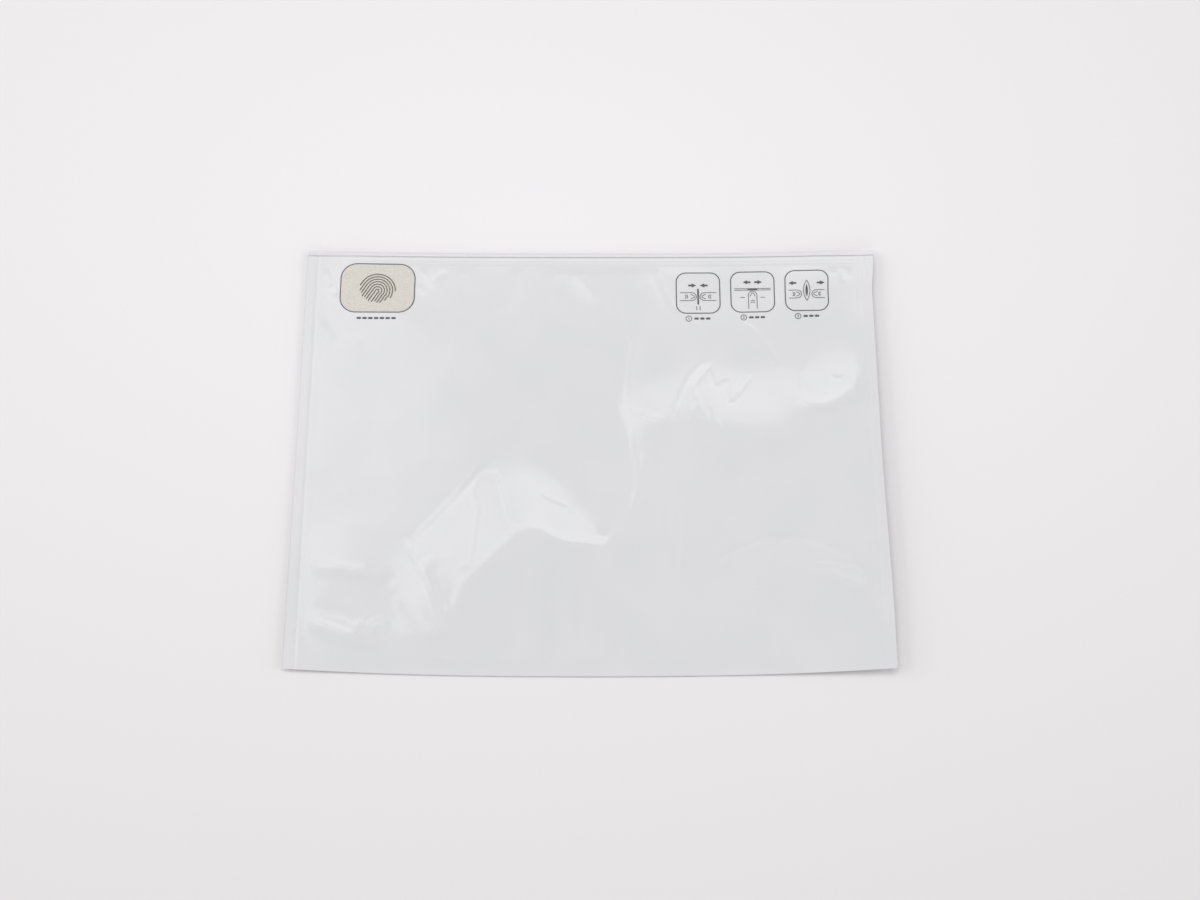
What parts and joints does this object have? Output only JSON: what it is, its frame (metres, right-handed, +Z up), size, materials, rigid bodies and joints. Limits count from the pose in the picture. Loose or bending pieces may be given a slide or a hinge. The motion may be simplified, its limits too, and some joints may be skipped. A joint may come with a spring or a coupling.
{
  "type": "metallized mailing bag",
  "caption": "Flat press-to-close mailing bag of glossy white metallized film, lying on its back, with a thumb pad and step frames printed under the mouth.",
  "frame": {"origin": "on the table under the middle of the bag, at the bottom centre of its box", "axes": "+X across the bag towards the step frames, +Y towards the mouth, +Z up out of the front film"},
  "size_m": [0.305, 0.229, 0.0071],
  "materials": {
    "film": "glossy white film with a faint silver cast, softly creased",
    "pad_print": "fine-grained warm grey print",
    "ink": "thin dark grey printed lines"
  },
  "bodies": {
    "root": {"bag": "film", "pad_caption_bar": "ink", "pinch_pad": "pad_print", "pinch_pad_outline": "ink", "step_1_arrow_left": "ink", "step_1_arrow_right": "ink", "step_1_caption_bar": "ink", "step_1_edge": "ink", "step_1_finger_left": "ink", "step_1_finger_right": "ink", "step_1_frame": "ink", "step_2_arrow_left": "ink", "step_2_arrow_right": "ink", "step_2_caption_bar": "ink", "step_2_finger": "ink", "step_2_frame": "ink", "step_2_line": "ink", "step_3_arrow_left": "ink", "step_3_arrow_right": "ink", "step_3_caption_bar": "ink", "step_3_finger_left": "ink", "step_3_finger_right": "ink", "step_3_frame": "ink", "step_3_opening": "ink", "thumb_ridge_1": "ink", "thumb_ridge_2": "ink", "thumb_ridge_3": "ink", "thumb_ridge_4": "ink", "thumb_ridge_5": "ink", "thumb_ridge_base": "ink"}
  },
  "joints": []
}
